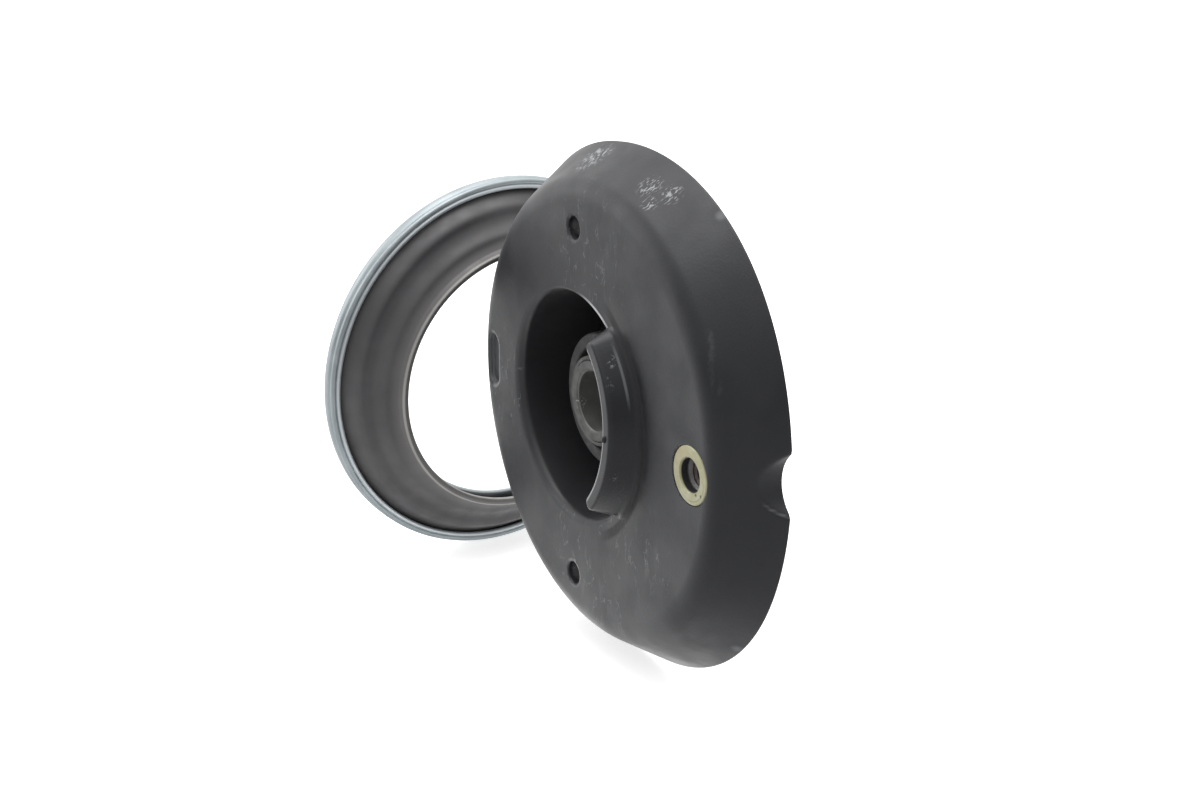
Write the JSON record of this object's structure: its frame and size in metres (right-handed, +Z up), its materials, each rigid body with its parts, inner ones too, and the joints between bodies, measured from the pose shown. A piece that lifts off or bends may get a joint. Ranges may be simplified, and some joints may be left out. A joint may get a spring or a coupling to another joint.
{
  "type": "strut mount",
  "caption": "Domed rubber strut mount with a steel rod sleeve, threaded insert and half collar, and its conical thrust bearing leaning beside it.",
  "frame": {"origin": "on the rod's axis, half way along the rod sleeve", "axes": "+Y along the rod's axis, down the strut and away from the top face; +X towards the threaded insert; +Z up as both pieces stand on their edges"},
  "size_m": [0.1621, 0.116, 0.142],
  "materials": {
    "dome_rubber": "satin moulded, scuffed",
    "black_steel": "black coated",
    "bush_rubber": "matt moulded",
    "turned_steel": "turned, dull",
    "passivated_steel": "yellow passivated zinc",
    "zinc_steel": "bright zinc",
    "dark_steel": "dark satin",
    "cage_plastic": "plain moulded",
    "ball_steel": "ground"
  },
  "bodies": {
    "mount": {"rubber_dome": "dome_rubber", "carrier_cup": "black_steel", "rod_bush": "bush_rubber", "rod_sleeve": "turned_steel", "threaded_insert": "passivated_steel", "bearing_lower_shell": "zinc_steel"},
    "upper_race": {"bearing_upper_shell": "dark_steel"},
    "ball_set": {"ball_cage": "cage_plastic", "bearing_balls": "ball_steel"}
  },
  "joints": [
    {"name": "bearing_turn", "type": "hinge", "parent": "mount", "child": "upper_race", "pos_m": [-0.07808, -0.0025, -0.01289], "axis": [0.9972, 0.054, -0.0523], "continuous": true},
    {"name": "ball_turn", "type": "hinge", "parent": "mount", "child": "ball_set", "pos_m": [-0.07808, -0.0025, -0.01289], "axis": [0.9972, 0.054, -0.0523], "continuous": true}
  ],
  "couplings": [
    {"joint": "ball_turn", "follows": "bearing_turn", "ratio": 0.5}
  ]
}
